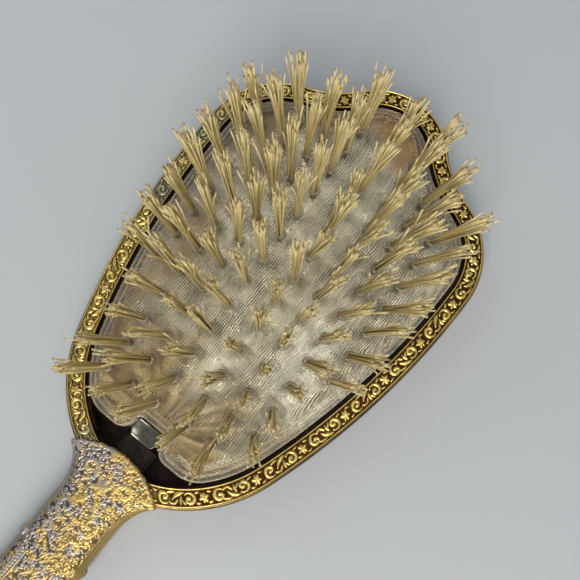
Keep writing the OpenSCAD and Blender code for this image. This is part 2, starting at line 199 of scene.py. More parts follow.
def heading(way):
    return math.degrees(math.atan2(way[1], way[0]))


def touching(first, first_reach, second, second_reach):
    """The centre of the circle that touches two others from outside."""
    gap = np.linalg.norm(second - first)
    way = (second - first) / gap
    along = (first_reach ** 2 - second_reach ** 2 + gap ** 2) / (2 * gap)
    return first + along * way + math.sqrt(first_reach ** 2 - along ** 2) * np.array([-way[1], way[0]])


sweep_centre = touching(tip_centre, tip_radius + sweep_radius, shoulder_centre,
                        shoulder_radius + sweep_radius)
hip_turn = heading(hip_way)
shoulder_turn = heading(sweep_centre - shoulder_centre)
tip_turn = heading(sweep_centre - tip_centre)
heel_turn = heading(heel - heel_centre)


def polar(centre, radius, turn):
    """Points at these turns round a centre."""
    return np.column_stack([centre[0] + radius * np.cos(turn), centre[1] + radius * np.sin(turn)])


def arc(centre, radius, start, stop, count):
    return polar(centre, radius, np.radians(np.linspace(start, stop, count + 1)))


def half_outline(inset, start, step):
    """Right half of the head's outline, inset, from this turn on the heel's arc to the tip."""
    arcs = ((heel_centre, heel_radius, -1, start, hip_turn, heel_turn),
            (side_centre, side_radius, -1, hip_turn, 0, hip_turn),
            (shoulder_centre, shoulder_radius, -1, 0, shoulder_turn, 0),
            (sweep_centre, sweep_radius, 1, shoulder_turn + 180, tip_turn + 180, shoulder_turn + 180),
            (tip_centre, tip_radius, -1, tip_turn, 90, tip_turn))
    found = []
    for centre, radius, way, first, last, nominal in arcs:
        count = max(3, round(radius * math.radians(abs(last - nominal)) / step))
        found.append(arc(centre, radius + way * inset, first, last, count)[1 if found else 0:])
    return np.concatenate(found)


def mirrored(half):
    """Both halves of an outline whose right half ends on the middle line."""
    return np.concatenate([half, (half[::-1] * (-1, 1))[1:]])


def head_ring(inset, heel_end, step=0.0008):
    sine = (heel_end - heel_centre[1]) / (heel_radius - inset)
    return mirrored(half_outline(inset, math.degrees(math.asin(max(-1, sine))), step))


def stack(rings, levels):
    """Points of rings laid at levels, each a number or one number for each point."""
    return np.concatenate([np.column_stack([r, np.broadcast_to(z, len(r))]) for r, z in zip(rings, levels)])


def weave(rows, columns, round_rows=False, round_columns=True):
    """Quads of a grid of points, closed along its rows or columns if asked."""
    row = np.arange(rows if round_rows else rows - 1)[:, None]
    column = np.arange(columns if round_columns else columns - 1)[None, :]
    next_row, next_column = (row + 1) % rows, (column + 1) % columns
    corners = (row * columns + column, row * columns + next_column,
               next_row * columns + next_column, next_row * columns + column)
    return np.stack(corners, -1).reshape(-1, 4).tolist()


def closed(rows, columns):
    """Quads of a tube of rings, and its two ends."""
    last = (rows - 1) * columns
    return weave(rows, columns) + [list(range(columns))[::-1], list(range(last, last + columns))]


def marked(skin, name):
    """Reads a number that each point of the mesh carries."""
    return node(skin, "Attribute", {}, attribute_name=name).outputs["Fac"]


def gilt(name, bright, dark, worn, wear_low, wear_high, relief=False, wear_size=0.014, lean=0.0,
         rough=(0.24, 0.46)):
    """Gold wash over brass: bright on what stands up, brown in the hollows, pale where it is worn; a lean adds
    painted shade to the left side.
    """
    made = material_of(name, Metallic=1.0)
    cloud = ramp(made, grain(made, 0.006, 5), (0.35, 0.0), (0.65, 1.0))
    gold = blend(made, cloud, bright, tuple(c * 0.72 for c in bright))
    if relief:
        raised = marked(made, "relief")
        grime = sum_up(made, "MULTIPLY", sum_up(made, "SUBTRACT", grain(made, 0.0022, 4), 0.5), 0.45)
        soiled = sum_up(made, "ADD", raised, grime)
        gold = blend(made, ramp(made, soiled, (0.15, 0.0), (0.5, 1.0)), dark, gold)
    patches = grain(made, wear_size, 6)
    # Lean shifts the worn patches across x, so the left side (x below 0) shows more of the grey worn colour and
    # the right side more gold. This is painted shade on the left and painted light on the right, laid over the
    # real wear.
    if lean:
        where = node(made, "TexCoord", {}).outputs["Object"]
        across = node(made, "SeparateXYZ", {"Vector": where}).outputs["X"]
        patches = sum_up(made, "SUBTRACT", patches, sum_up(made, "MULTIPLY", across, lean))
    wear_and_side_shade = ramp(made, patches, (wear_low, 0.0), (wear_high, 1.0))
    if relief:
        worn = blend(made, ramp(made, soiled, (0.1, 0.0), (0.6, 1.0)), tuple(c * 0.22 for c in worn), worn)
    drive(made, Base_Color=blend(made, wear_and_side_shade, gold, worn),
          Roughness=ramp(made, grain(made, 0.0016, 4), (0.3, rough[0]), (0.75, rough[1])))
    brushed = dents(made, grain(made, 0.0009, 3, (1, 1, 0.3)), 0.00003)
    drive(made, Normal=dents(made, grain(made, 0.004, 2), 0.00006, brushed))
    return made


band_z = 0.0086
casing_profile = ((5.2, 1.0), (3.4, 1.0), (2.3, 1.1), (1.4, 1.5), (0.95, 2.1), (0.8, 2.9), (0.8, 5.2),
                  (0.8, 6.9), (0.75, 7.2), (0.62, 7.32), (0.5, 7.34), (0.38, 7.4), (0.32, 7.55),
                  (0.36, 7.72), (0.5, 7.78), (0.56, 7.9), (0.58, 8.1), (0.64, 8.36), (0.74, 8.44), (0.84, 8.4),
                  (0.9, 8.5), (1.0, 8.6), (1.6, 8.6), (1.6, 5.0), (1.6, 1.8), (5.2, 1.8))
casing_gilt = gilt("gilt_casing", (0.42, 0.28, 0.09), (0.1, 0.06, 0.02), (0.13, 0.08, 0.04), 0.38, 0.58)
rings = [head_ring(inset / 1000, heel_y + inset / 1000) for inset, _ in casing_profile]
faces = closed(len(rings), len(rings[0]))
casing = made_of("head_casing", stack(rings, [z / 1000 for _, z in casing_profile]), faces, casing_gilt)
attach(casing, "frame")
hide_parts("head_shell")


# ------------
# The back plate: thicker brass, struck in a die with a wreath of leaves round a flower, and
# soldered into the back of the casing. It is what the brush rests on.

plate_inset, plate_lobe = 0.005, 0.009
plate_step, plate_top = 0.0005, 0.001
back_floor = 0.00045


def rounded(gap, half):
    """Height, from 0 to 1, of a round bead of this half width at a gap from its middle."""
    return np.sqrt(np.clip(1 - (gap / half) ** 2, 0, 1))


def stroke_heights(points, strokes):
    """How high rounded strokes stand at each point, from 0 to 1. A stroke is rows of x, y, half width."""
    height = np.zeros(len(points))
    for stroke in strokes:
        reach = stroke[:, 2].max()
        low, high = stroke[:, :2].min(0) - reach, stroke[:, :2].max(0) + reach
        near = np.flatnonzero(np.all((points > low) & (points < high), axis=1))
        if not len(near):
            continue
        start, run = stroke[:-1, :2], stroke[1:, :2] - stroke[:-1, :2]
        apart = points[near][:, None, :] - start
        share = np.clip((apart * run).sum(2) / np.maximum((run ** 2).sum(1), 1e-14), 0, 1)
        gap = np.linalg.norm(apart - share[..., None] * run, axis=2)
        half = stroke[:-1, 2] + share * (stroke[1:, 2] - stroke[:-1, 2])
        height[near] = np.maximum(height[near], rounded(gap, half).max(1))
    return height


def scroll(centre, start, size, turns, width):
    """A spiral from its eye outwards; turns is negative for a clockwise one."""
    t = np.linspace(0, 1, 26)
    turn = math.radians(start) + 2 * math.pi * turns * t
    radius = size * (0.1 + 0.9 * t)
    half = width * (0.55 + 0.45 * np.sin(math.pi * t)) * np.where(t < 0.05, 1.5, 1)
    return np.column_stack([polar(centre, radius, turn), half])


def leaf(root, start, length, width, curl=0):
    """A pointed leaf that bends by curl degrees along its length."""
    t = np.linspace(0, 1, 8)
    turn = np.radians(start + curl * t)
    run = np.column_stack([np.cos(turn), np.sin(turn)]) * length / 7
    line = np.array(root) + np.concatenate([[[0, 0]], np.cumsum(run[1:], 0)])
    return np.column_stack([line, width * np.sin(math.pi * (0.12 + 0.86 * t)) + 1e-5])


def flower(centre, size, petals, start=90):
    """Round petals about a button."""
    found = [leaf(centre, start + 360 * k / petals, size, size * 0.34) for k in range(petals)]
    eye = size * 0.26
    return found + [np.array([[centre[0], centre[1], eye], [centre[0] + 1e-5, centre[1], eye]])]


def flipped(strokes):
    """The strokes and their mirror images in the middle line."""
    return strokes + [s * (-1, 1, 1) for s in strokes]


def lobe_at(inset, heel_end, lobe):
    """The centre of a lobe at the heel's right end, and the turn where it meets the outline."""
    reach, level = heel_radius - inset - lobe, heel_end + lobe
    across = math.sqrt(reach ** 2 - (level - heel_centre[1]) ** 2)
    centre = np.array([heel_centre[0] + across, level])
    return centre, heading(centre - heel_centre)


def lobed_ring(inset, heel_end, lobe, step):
    """The head's outline, inset, with a straight heel between two lobes."""
    lobe_centre, turn = lobe_at(inset, heel_end, lobe)
    corner = arc(lobe_centre, lobe, -90, turn, 14)
    return mirrored(np.concatenate([corner, half_outline(inset, turn, step)[1:]]))


def filled(loop, step, height):
    """A triangulated plate inside a loop, with a grid of points step apart, raised by height(x, y)."""
    low, high = loop.min(0), loop.max(0)
    grid = np.stack(np.meshgrid(np.arange(low[0], high[0], step), np.arange(low[1], high[1], step)), -1)
    grid = grid.reshape(-1, 2)
    after = np.roll(loop, -1, 0)
    inside = np.zeros(len(grid), bool)
    clear = np.full(len(grid), np.inf)
    for a, b in zip(loop, after):
        crosses = (a[1] > grid[:, 1]) != (b[1] > grid[:, 1])
        slope = (b[0] - a[0]) / (b[1] - a[1]) if b[1] != a[1] else 0
        inside ^= crosses & (grid[:, 0] < a[0] + (grid[:, 1] - a[1]) * slope)
        clear = np.minimum(clear, ((grid - a) ** 2).sum(1))
    grid = grid[inside & (clear > (0.6 * step) ** 2)]
    flat = np.concatenate([loop, grid])
    edges = [(k, (k + 1) % len(loop)) for k in range(len(loop))]
    found = delaunay_2d_cdt([Vector(p) for p in flat], edges, [], 1, 1e-9)
    kept = np.array([tuple(p) for p in found[0]])
    return np.column_stack([kept, height(kept[:, 0], kept[:, 1])]), [list(f) for f in found[2]]


def thick_plate(loop, step, height, level):
    """A filled face with a wall round it, and a flat other side at this level."""
    points, faces = filled(loop, step, height)
    first, rim = len(points), len(loop)
    faces += [[(k + 1) % rim, k, first + k, first + (k + 1) % rim] for k in range(rim)]
    faces.append([first + k for k in range(rim)][::-1])
    return np.concatenate([points, np.column_stack([loop, np.full(rim, level)])]), faces


def joined(*parts):
    """One list of points and faces from several."""
    points, faces = [], []
    for more_points, more_faces in parts:
        shift = sum(len(p) for p in points)
        points.append(np.asarray(more_points))
        faces += [[c + shift for c in f] for f in more_faces]
    return np.concatenate(points), faces


def mark(piece, name, values):
    """Gives each point of a piece a number for its material to read."""
    given = piece.data.attributes.new(name, "FLOAT", "POINT")
    given.data.foreach_set("value", values.astype(np.float32))


def rim_distance(points, loop):
    """Distance from each point to the nearest corner of a finely stepped loop."""
    found = np.full(len(points), np.inf)
    for corner in loop:
        found = np.minimum(found, ((points - corner) ** 2).sum(1))
    return np.sqrt(found)


plate_loop = lobed_ring(plate_inset, collar_y + 0.0088 + plate_inset, plate_lobe, 0.0005)
wreath = []
for k in range(9):
    place = np.array([0.0225 - 0.0009 * abs(k - 4.5), -0.036 + 0.0098 * k])
    wreath += [scroll(place, 90, 0.0042, 1.4, 0.0007),
               scroll(place + (-0.0052, 0.0045), 250, 0.0027, -1.2, 0.0005),
               leaf(place + (0.0035, 0.003), 40, 0.0052, 0.001, 40),
               leaf(place + (-0.002, -0.0045), 200, 0.005, 0.0009, -50)]
wreath = flipped(wreath)
wreath += flower((0, 0.004), 0.0085, 8) + flower((0, 0.004), 0.0048, 8, 112.5)
wreath += flower((0, 0.045), 0.006, 6) + flower((0, -0.039), 0.005, 6)
for turn in range(0, 360, 30):
    way = np.array([math.cos(math.radians(turn)), math.sin(math.radians(turn))])
    wreath.append(leaf((0, 0.004) + way * (0.0095, 0.0105), turn, 0.0065, 0.0013, 25))


def back_height(x, y):
    """Level of the struck back plate, which rests on its highest parts."""
    points = np.column_stack([x, y])
    raised = stroke_heights(points, wreath)
    edge = rim_distance(points, plate_loop)
    bead = rounded(edge - 0.0016, 0.0011)
    rope = 0.75 + 0.25 * np.sin((x + y) * 2 * math.pi / 0.0018)
    return back_floor * (1 - np.maximum(raised, bead * rope))


points, faces = thick_plate(plate_loop, plate_step, back_height, plate_top)
back_gilt = gilt("gilt_back", (0.82, 0.6, 0.25), (0.13, 0.08, 0.03), (0.55, 0.5, 0.38), 0.6, 0.75,
                 relief=True)
back_plate = made_of("back_plate", points, [f[::-1] for f in faces], back_gilt)
mark(back_plate, "relief", np.clip(1 - points[:, 2] / back_floor, 0, 1))
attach(back_plate, "frame")
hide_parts("back_panel")


# ------------
# The bezel: a flat ring of brass rolled with a running pattern of scrolls and small flowers,
# gilded and wiped with brown so that the ground stays dark. It is pressed on to the lip.

bezel_in, bezel_width = 0.001, 0.0044
bezel_ground, bezel_top = 0.00922, 0.0095
repeat = 0.0131
bezel_step = 0.00014
tile_step = 0.00005


def volute(centre, start, sweep, eye=0.0005):
    """A bold curl: a round eye with a thick arm that sweeps round it by so many degrees."""
    t = np.linspace(0, 1, 22)
    turn, radius = np.radians(start + sweep * t), 0.0009 + 0.00048 * t
    half = 0.00041 * np.sin(math.pi * (0.2 + 0.72 * t)) + 0.00005
    arm = np.column_stack([polar(centre, radius, turn), half])
    hook = [(centre[0] + r * math.cos(turn[0] - k * math.radians(sweep) / 7),
             centre[1] + r * math.sin(turn[0] - k * math.radians(sweep) / 7), h)
            for k, r, h in ((1.6, 0.0001, eye), (0.8, 0.00045, 0.00038), (0, 0.0009, 0.00028))]
    return [arm, np.array(hook)]


def bezel_tile():
    """Heights over one repeat of the running pattern, and its size in steps."""
    half = 0.0018
    bud = flower((0, 0), 0.00128, 5) + [leaf((0.001, -0.0013), 0, 0.0011, 0.00028, 30),
                                        leaf((0.001, 0.0013), 0, 0.0011, 0.00028, -30)]
    strokes = volute((0.0034, 0.0001), 20, 300) + volute((0.0094, 0.0), 200, 290)
    strokes += [leaf((0.0047, -0.0013), 0, 0.0034, 0.0005, 55),
                leaf((0.0053, -0.0004), 62, 0.0019, 0.00036, 35),
                leaf((0.0051, 0.0004), 110, 0.0013, 0.00028, 30),
                leaf((0.0062, 0.0003), 60, 0.0016, 0.00034, -20),
                leaf((0.0068, -0.0014), -5, 0.0021, 0.00034, 25),
                leaf((0.0071, 0.0012), 10, 0.0014, 0.00034, -50)]
    strokes += bud + [s + (repeat, 0, 0) for s in bud]
    strokes += [s * (-1, 1, 1) + (repeat, 0, 0) for s in bud[-2:]]
    along = np.arange(0, repeat, tile_step)
    across = np.arange(-half, half + tile_step, tile_step)
    spots = np.stack(np.meshgrid(along, across, indexing="ij"), -1).reshape(-1, 2)
    heights = stroke_heights(spots, strokes)
    wider = stroke_heights(spots, [s + (0, 0, 0.00016) for s in strokes])
    open_ground = (wider == 0).astype(float)
    return heights.reshape(len(along), len(across)), open_ground.reshape(len(along), len(across)), half


tile, open_tile, tile_half = bezel_tile()
steps_across = round(bezel_width / bezel_step)
offsets = np.linspace(0, bezel_width, steps_across + 1)
rings = [head_ring(bezel_in + o, heel_y + bezel_in + 0.8 * o, bezel_step) for o in offsets]
middle = rings[steps_across // 2]
travel = np.concatenate([[0], np.cumsum(np.linalg.norm(np.diff(middle, axis=0), axis=1))])
half_way = travel[-1] / 2
fitted = half_way / (round(half_way / repeat - 0.5) + 0.5) / repeat
levels, shades = [], []
for offset, ring in zip(offsets, rings):
    from_middle = offset - bezel_width / 2
    place = np.abs(travel - half_way) / fitted + repeat / 2
    flip = np.where((place // repeat) % 2 == 0, 1, -1)
    row = ((place % repeat) / tile_step).astype(int) % len(tile)
    column = ((from_middle * flip + tile_half) / tile_step).round().astype(int)
    column = np.clip(column, 0, tile.shape[1] - 1)
    field = tile[row, column]
    edge = bezel_width / 2 - abs(from_middle)
    bead = rounded(edge - 0.0002, 0.0002)
    groove = 0.0 if edge < 0.00045 else 1.0
    height = np.maximum(field * groove, bead)
    rubbed = np.clip(0.5 - ring[:, 0] / 0.03 - (ring[:, 1] + 0.03) / 0.06, 0.12, 1)
    open_ground = open_tile[row, column] * groove
    shades.append(np.maximum(height, 0.36 * rubbed * open_ground))
    levels.append(bezel_ground + (bezel_top - bezel_ground) * height - (0.00008 if edge < 0.00005 else 0))
around = len(rings[0])
top = stack(rings, levels)
under = stack([rings[-1], rings[0]], [band_z, band_z])
faces = weave(len(rings) + 2, around, round_rows=True)
# lean=3 greys and darkens the bezel's left side more than its right. This is painted shade on that side, laid
# over the real wear.
bezel_gilt = gilt("gilt_bezel", (0.8, 0.6, 0.19), (0.055, 0.022, 0.007), (0.34, 0.32, 0.19), 0.6, 0.76,
                  relief=True, lean=3)
bezel = made_of("engraved_bezel", np.concatenate([top, under]), faces, bezel_gilt)
mark(bezel, "relief", np.concatenate([*shades, np.zeros(2 * around)]))
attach(bezel, "frame")
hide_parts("bezel")


# ------------
# The tray: a lining of dark lacquered card that hides the casing's solder inside, and shows
# only in the slit round the block and at the heel. Dust and hair oil have dulled it.

def finish(name, tone, rough, dent=None, **values):
    """A plain finish. Tone and rough are each a grain and two stops; dent is a grain and a depth."""
    made = material_of(name, **values)
    drive(made, Base_Color=ramp(made, grain(made, *tone[0]), *tone[1:]),
          Roughness=ramp(made, grain(made, *rough[0]), *rough[1:]))
    if dent:
        drive(made, Normal=dents(made, grain(made, *dent[0]), dent[1]))
    return made


def finished(name, skin):
    """A solid of the frame, which keeps its shape, in its finish."""
    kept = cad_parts[name]
    kept.material_slots[0].material = skin
    return kept


lacquer = finish("tray_lacquer", ((0.003, 5), (0.4, (0.008, 0.004, 0.0025)), (0.72, (0.045, 0.02, 0.01))),
                 ((0.002, 4), (0.3, 0.28), (0.7, 0.6)), ((0.0006, 3), 0.00004), Specular_IOR_Level=0.12)
finished("tray_liner", lacquer)


# ------------
# The tang, its rivets and the threaded rod: mild steel, blanked and drilled, which tie the head
# to the handle. They sit inside, and have the dull skin of steel that was never polished.

steel = finish("mill_steel", ((0.002, 5), (0.35, (0.18, 0.16, 0.14)), (0.7, (0.42, 0.41, 0.4))),
               ((0.0008, 3), (0.3, 0.3), (0.7, 0.55)), ((0.0005, 3, (1, 0.15, 1)), 0.00002), Metallic=1.0)
rusty = finish("browned_rivet", ((0.0012, 4), (0.35, (0.02, 0.012, 0.008)), (0.7, (0.07, 0.045, 0.03))),
               ((0.0008, 3), (0.3, 0.35), (0.7, 0.6)), Metallic=0.3, Specular_IOR_Level=0.2)
for name, skin in (("tang", rusty), ("heel_rivets", rusty), ("handle_rod", steel)):
    finished(name, skin)


# ------------
# The catch: a strip of spring steel, riveted to the tang at its foot and browned, whose free end
# is bent over and plated bright. Pushed back with a nail, it lets the block lift.

catch_half = 0.0038
catch_back, catch_front = -0.05265, -0.04775
catch_foot_z, catch_top_z = 0.00445, 0.0099
catch_sheet = 0.0005
bend_radius = 0.0009
corner_radius, back_radius = 0.0009, 0.0026

browned = finish("browned_strip", ((0.0015, 4), (0.3, (0.02, 0.013, 0.009)), (0.7, (0.06, 0.045, 0.035))),
                 ((0.001, 3), (0.3, 0.3), (0.7, 0.5)), Metallic=0.3, Specular_IOR_Level=0.2)
finished("catch_foot", browned)

line_y = catch_back + catch_sheet / 2
line_z = catch_top_z - catch_sheet / 2
bend = arc((line_y + bend_radius, line_z - bend_radius), bend_radius, 180, 90, 8)
rise = np.column_stack([np.full(8, line_y), np.linspace(catch_foot_z, bend[0, 1], 8)])[:-1]
reach = np.column_stack([np.linspace(bend[-1, 0], catch_front, 14), np.full(14, line_z)])[1:]
path = np.concatenate([rise, bend, reach])


def rounding(radius, gap):
    """How far a corner of this radius draws the edge in, at a gap from the corner's end."""
    return radius - math.sqrt(max(0, radius ** 2 - max(0, radius - gap) ** 2))


ways = np.gradient(path, axis=0)
ways /= np.linalg.norm(ways, axis=1)[:, None]
across_edge = np.array([(1, 0.5), (1, -0.5), (0.985, -0.8), (0.93, -1), (-0.93, -1), (-0.985, -0.8),
                        (-1, -0.5), (-1, 0.5), (-0.985, 0.8), (-0.93, 1), (-0.87, 0.6), (0.87, 0.6),
                        (0.93, 1), (0.985, 0.8)])
sections = []
for (y, z), (way_y, way_z) in zip(path, ways):
    left_over = catch_front - y if z > line_z - 1e-6 else 1
    cut = rounding(corner_radius, left_over) + rounding(back_radius, y - catch_back)
    thin = 0.55 if left_over < 1e-6 else 1
    for side, lift in across_edge:
        depth = lift * catch_sheet / 2 * thin
        sections.append((side * (catch_half - cut), y - way_z * depth, z + way_y * depth))
faces = closed(len(path), len(across_edge))
bright = finish("bright_plate", ((0.0012, 5), (0.35, (0.13, 0.13, 0.1)), (0.65, (0.19, 0.19, 0.15))),
                ((0.0006, 3), (0.3, 0.16), (0.75, 0.26)), ((0.002, 2), 0.00002), Metallic=1.0)
catch = made_of("catch_spring", sections, faces, bright)
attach(catch, "catch")
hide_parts("catch_plate")


# ------------
# The handle: two halves pressed from brass sheet, chased with scrolls over a punched ground, and
# soldered edge to edge round the rod. Their fishtail laps over the head's heel like a collar.

collar_half, collar_rise = 0.013, 0.005
neck_half, grip_half = 0.0085, 0.01
flare_radius = 0.014
face_z, seam_z = 0.0105, 0.00525
face_in = 0.0026
cap_y = collar_y - 0.097
knot_y, knot_length, knot_out = collar_y - 0.022, 0.0026, 0.0007
chase_depth = 0.00022
handle_step = 0.00018
flare_turn = math.acos(1 - (collar_half - neck_half) / flare_radius)
flare_y = collar_y - flare_radius * math.sin(flare_turn)
tail_radius = (collar_half ** 2 + collar_rise ** 2) / (2 * collar_rise)


def half_width(y):
    """Half the handle's width at the seam."""
    drop = np.clip(y - flare_y, 0, flare_radius)
    flare = neck_half + flare_radius - np.sqrt(np.clip(flare_radius ** 2 - drop ** 2, 0, None))
    share = np.clip((y - flare_y) / (cap_y - flare_y), 0, 1)
    grip = neck_half + (grip_half - neck_half) * share ** 2 * (3 - 2 * share)
    knot = knot_out * rounded(y - knot_y, knot_length / 2)
    return np.where(y > flare_y, flare, grip) + knot


def handle_strokes(front):
    """The chased ornament: a few larger scrolls among a close filigree of small curls and leaves."""
    bold = [scroll((0.0052, collar_y - 0.002), 200, 0.003, 1.3, 0.0004),
            scroll((0.0038, collar_y - 0.012), 330, 0.0027, -1.3, 0.0004),
            scroll((0.004, collar_y - 0.0178), 120, 0.0018, 1.2, 0.0003),
            leaf((0.009, collar_y - 0.0006), 15, 0.0034, 0.0006, 10),
            leaf((0.0022, collar_y + 0.0024), 70, 0.0024, 0.0006, -50),
            leaf((0.0012, collar_y - 0.007), -80, 0.003, 0.0006, 35)]
    found = flower((0, collar_y - 0.0038), 0.0021, 6) + flipped(bold)
    pitch = 0.0142
    for k in range(5):
        y = knot_y - 0.0085 - pitch * k
        chain = [scroll((0.0022, y + 0.0036), 240, 0.002, 1.2, 0.0003),
                 scroll((0.0022, y - 0.0036), 120, 0.002, -1.2, 0.0003)]
        found += flower((0, y), 0.0018, 6) + flipped(chain)
    random = np.random.default_rng(11 if front else 12)
    small, row = 0.00135, 0
    for y in np.arange(cap_y + small / 2, collar_y + collar_rise, small * 0.87):
        row += 1
        for x in np.arange(small / 2 * (row % 2), collar_half, small):
            spot = np.array([x, y]) + random.normal(0, 0.00018, 2)
            turn, way = random.uniform(0, 360), 1 if random.uniform() < 0.5 else -1
            curl = scroll(spot, turn, small * 0.52, 1.1 * way, 0.00018)
            sprig = leaf(spot, turn + 150, small * 0.75, 0.00021, 60 * way)
            found += flipped([curl, sprig])
    return found


def handle_half(front):
    """Points, faces and relief of one half, drawn face up; the back half has no raised knot."""
    columns = np.linspace(-1, 1, 2 * round(collar_half / handle_step) + 1)
    rows = np.linspace(cap_y, collar_y, round((collar_y - cap_y) / handle_step) + 1)
    y = np.repeat(rows[:, None], len(columns), 1)
    x = columns[None, :] * half_width(rows)[:, None]
    tail = np.linspace(0, 1, 26)[1:, None]
    tail_front = collar_y + collar_rise - tail_radius + np.sqrt(tail_radius ** 2 - (columns * collar_half) ** 2)
    y = np.concatenate([y, collar_y + tail * (tail_front[None, :] - collar_y)])
    x = np.concatenate([x, np.repeat(columns[None, :] * collar_half, len(tail), 0)])
    limit = np.where(y < collar_y, half_width(y), collar_half)
    edge = limit - np.abs(x)
    slope = np.clip(edge / (face_in + 0.0006), 0, 1)
    shoulder = np.sin(slope * math.pi / 2) ** 0.8
    sag = 0.0004 * (np.abs(x) / np.maximum(limit - face_in, 1e-6)).clip(0, 1) ** 2
    lapped = (y > heel_y)
    front_gap = np.where(y > collar_y, tail_front[None, :] - y, 1)
    body_rise = 0.0022 + (face_z - seam_z - 0.0022) * shoulder - sag
    lap_rise = face_z - seam_z - 0.0001 - 0.00045 * np.exp(-np.minimum(edge, front_gap).clip(0) / 0.0003)
    blend_in = np.clip((y - flare_y) / (collar_y - flare_y), 0, 1) ** 3
    to_lap = np.minimum(lap_rise, body_rise + 0.003)
    rise = np.where(lapped, lap_rise, body_rise * (1 - blend_in) + to_lap * blend_in)
    points = np.column_stack([x.ravel(), y.ravel()])
    chased = stroke_heights(points, handle_strokes(front)).reshape(x.shape)
    on_face = np.clip((edge - 0.0011) / 0.0004, 0, 1)
    near_tail = np.clip((y - flare_y) / 0.004, 0, 1)
    allowed = np.maximum(on_face, near_tail * np.clip((edge - 0.0008) / 0.0003, 0, 1))
    ribs = 0.5 + 0.5 * np.sin((y + 0.6 * np.abs(x)) * 2 * math.pi / 0.0008)
    below = y < knot_y - knot_length
    border = (edge > face_in + 0.0003) & (edge < face_in + 0.0015) & below
    line = np.abs(edge - face_in - 0.0019) < 0.00022
    gutter = (np.abs(edge - face_in - 0.0019) < 0.00042) & below
    chased = np.where(border, 0.25 + 0.7 * ribs, np.where(gutter, 0.9 * line, chased))
    moulding = 0.6 + 0.4 * np.cos(edge * 2 * math.pi / 0.0006)
    chased = moulding * (1 - allowed) + chased * allowed
    bead_gap = np.minimum(edge, front_gap)
    lumps = 0.72 + 0.28 * np.sin(x * 2 * math.pi / 0.0017)
    bead = rounded(bead_gap - 0.0007, 0.00045) * lumps * (y > flare_y)
    chased = np.maximum(chased, bead)
    studs = np.clip(1 - (edge - 0.0011) ** 2 / 0.0011 ** 2, 0, 1) * rounded(y - knot_y, knot_length / 2)
    chased = np.maximum(chased, studs)
    rise = rise - chase_depth * (1 - chased) * (0.35 + 0.65 * allowed)
    if front:
        rise = rise + 0.7 * knot_out * studs
    top_points = np.column_stack([points, seam_z + rise.ravel()])
    lap_z = 0.0095 if front else 2 * seam_z - 0.001
    n_rows, n_columns = x.shape
    upper = weave(n_rows, n_columns, round_columns=False)
    count = n_rows * n_columns
    ends = len(rows) - 1
    index = np.arange(count).reshape(n_rows, n_columns)
    loop = np.concatenate([index[0], index[1:, -1], index[-1, -2::-1], index[-2:0:-1, 0]])
    tail_grid = index[ends:]
    used = np.unique(np.concatenate([loop, tail_grid.ravel()]))
    low_of = np.full(count, -1)
    low_of[used] = count + np.arange(len(used))
    low_z = np.where(lapped, lap_z, seam_z).ravel()[used]
    low_points = np.column_stack([points[used], np.minimum(low_z, top_points[used, 2])])
    lower = [low_of[index[[k + 1, k + 1, k, k], [0, -1, -1, 0]]] for k in range(1, ends - 1)]
    lower.append(low_of[[*index[1, [0, -1]], *index[0, ::-1]]])
    lower.append(low_of[[*index[ends - 1, [-1, 0]], *index[ends]]])
    tail_faces = weave(len(tail_grid), n_columns, round_columns=False)
    lower += [low_of[tail_grid.ravel()[f[::-1]]] for f in tail_faces]
    sides = [[b, a, low_of[a], low_of[b]] for a, b in zip(loop, np.roll(loop, -1))]
    chased = np.concatenate([chased.ravel(), np.zeros(len(used))])
    return np.concatenate([top_points, low_points]), upper + lower + sides, chased


# lean=14 greys and darkens the handle's left side more than its right. This is painted shade on that side, laid
# over the real wear.
handle_gilt = gilt("chased_handle", (0.66, 0.47, 0.16), (0.2, 0.14, 0.07), (0.36, 0.325, 0.29), 0.44, 0.6,
                   relief=True, wear_size=0.0022, lean=14, rough=(0.36, 0.56))
for name, node_name, front in (("handle_face", "handle_front", True),
                               ("handle_underside", "handle_back", False)):
    points, faces, chased = handle_half(front)
    if not front:
        points = points * (1, 1, -1) + (0, 0, 2 * seam_z)
        faces = [f[::-1] for f in faces]
    half = made_of(name, points, faces, handle_gilt)
    mark(half, "relief", chased)
    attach(half, "frame")
    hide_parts(node_name)


# ------------
# The end cap: a cast brass shell with flutes, plugged into the two halves and held by the nut of
# the rod. Its crown is rubbed bright from standing on a dressing table.

cap_radius, cap_length = 0.01, 0.01
cap_half = face_z - seam_z
flutes, cap_sides = 9, 96


def end_cap():
    """Points and faces of the cap, as rings from its mouth to its crown."""
    rings = []
    for t in np.linspace(0, 1, 30):
        y = cap_y - cap_length * math.sin(t * math.pi / 2)
        swell = math.cos(t * math.pi / 2) ** 0.55 if t < 1 else 0.02
        turns = np.linspace(0, 2 * math.pi, cap_sides + 1)[:-1]
        wave = 1 - 0.05 * t * (1 - t) * 4 * (0.5 - 0.5 * np.cos(turns * flutes * 2))
        across = np.sign(np.cos(turns)) * np.abs(np.cos(turns)) ** 0.5 * cap_radius * swell * wave
        thick = np.sign(np.sin(turns)) * np.abs(np.sin(turns)) ** 0.6 * (cap_half - 0.0003)
        thick = thick * swell ** 0.7 * wave
        rings.append(np.column_stack([across, np.full(cap_sides, y), seam_z + thick]))
    return np.concatenate(rings), closed(len(rings), cap_sides)


cap_gilt = gilt("cap_gilt", (0.8, 0.6, 0.25), (0.13, 0.09, 0.045), (0.6, 0.57, 0.5), 0.5, 0.66)
points, faces = end_cap()
cap = made_of("end_cap", points, faces, cap_gilt)
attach(cap, "frame")
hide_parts("handle_end_cap")


# ------------
# The block: clear acrylic, moulded with a stepped rim, a low dome and a notch for the catch, then
# drilled. Years of brushing have left its dome finely scratched along its length.

